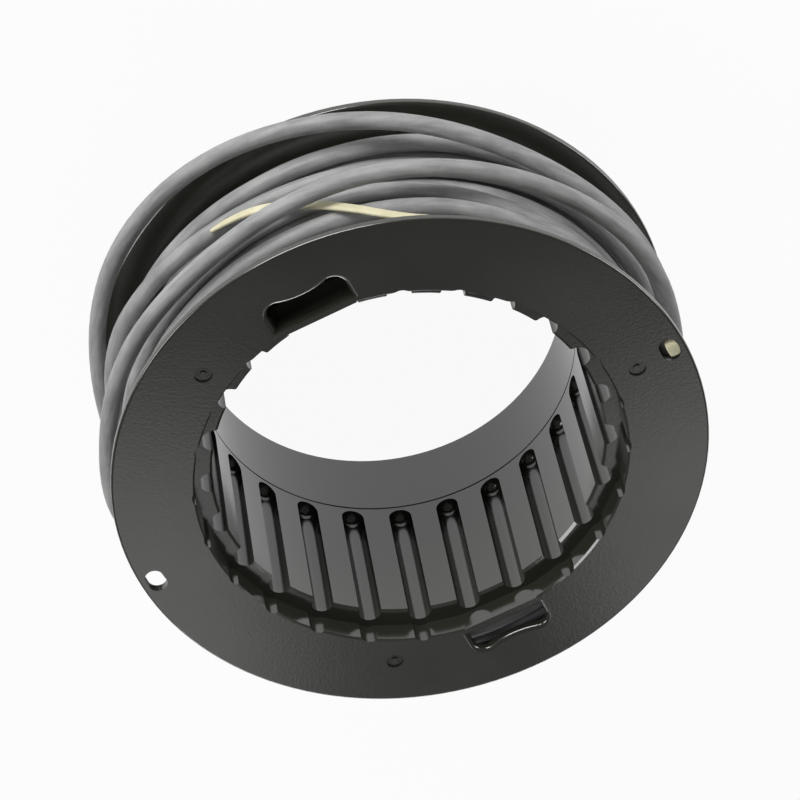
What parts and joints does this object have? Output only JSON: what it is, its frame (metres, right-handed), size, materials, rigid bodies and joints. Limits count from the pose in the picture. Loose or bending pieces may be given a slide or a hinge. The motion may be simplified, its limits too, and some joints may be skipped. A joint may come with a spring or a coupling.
{
  "type": "trimmer line spool",
  "caption": "Round plastic line spool for a garden grass trimmer, with a fluted hub bore, thin flanges and cutting line wound on its drum.",
  "frame": {"origin": "centre of the spool's axis at the lower end of the collar, the face that it stands on", "axes": "+Z along the spool's axis, from the plain collar towards the open fluted mouth; +X near the parking hole that holds the line's end"},
  "size_m": [0.0842, 0.084, 0.0391],
  "materials": {
    "spool_plastic": "satin, dark grey moulded plastic",
    "trimmer_line": "satin dark grey nylon line",
    "tie_strand": "dull cream flat strand"
  },
  "bodies": {
    "root": {"spool_body": "spool_plastic", "line_coil": "trimmer_line", "loose_turn_back": "trimmer_line", "loose_turn_front": "trimmer_line", "tie_strand": "tie_strand"}
  },
  "joints": []
}
